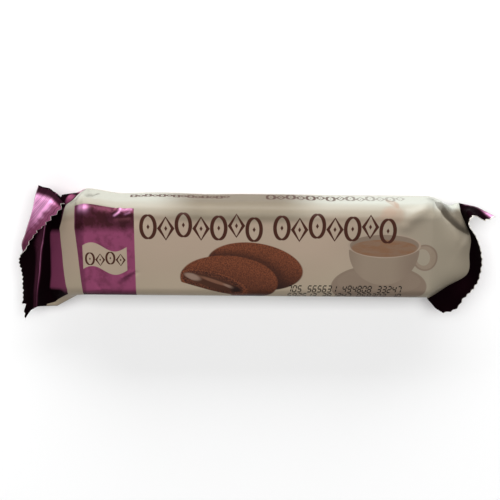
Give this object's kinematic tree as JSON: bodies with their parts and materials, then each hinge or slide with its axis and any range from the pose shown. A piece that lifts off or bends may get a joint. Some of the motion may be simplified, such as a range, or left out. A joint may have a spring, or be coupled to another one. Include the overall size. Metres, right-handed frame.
{
  "type": "flow-wrapped biscuit pack",
  "caption": "Closed film pack of sandwich biscuits, lying face up, with a lap seam along the back, toothed end seals, the left one half folded over and the right one curled up.",
  "frame": {"origin": "under the middle of the pack's bounding box, on the surface that its back lies on", "axes": "+X along the pack towards the curled seal, +Y across the printed face towards the top of the print, +Z out of the printed face"},
  "size_m": [0.2296, 0.0724, 0.0224],
  "materials": {
    "printed_film": "satin printed film, cream with dark purple metallised ends"
  },
  "bodies": {
    "root": {"wrapper": "printed_film"}
  },
  "joints": []
}
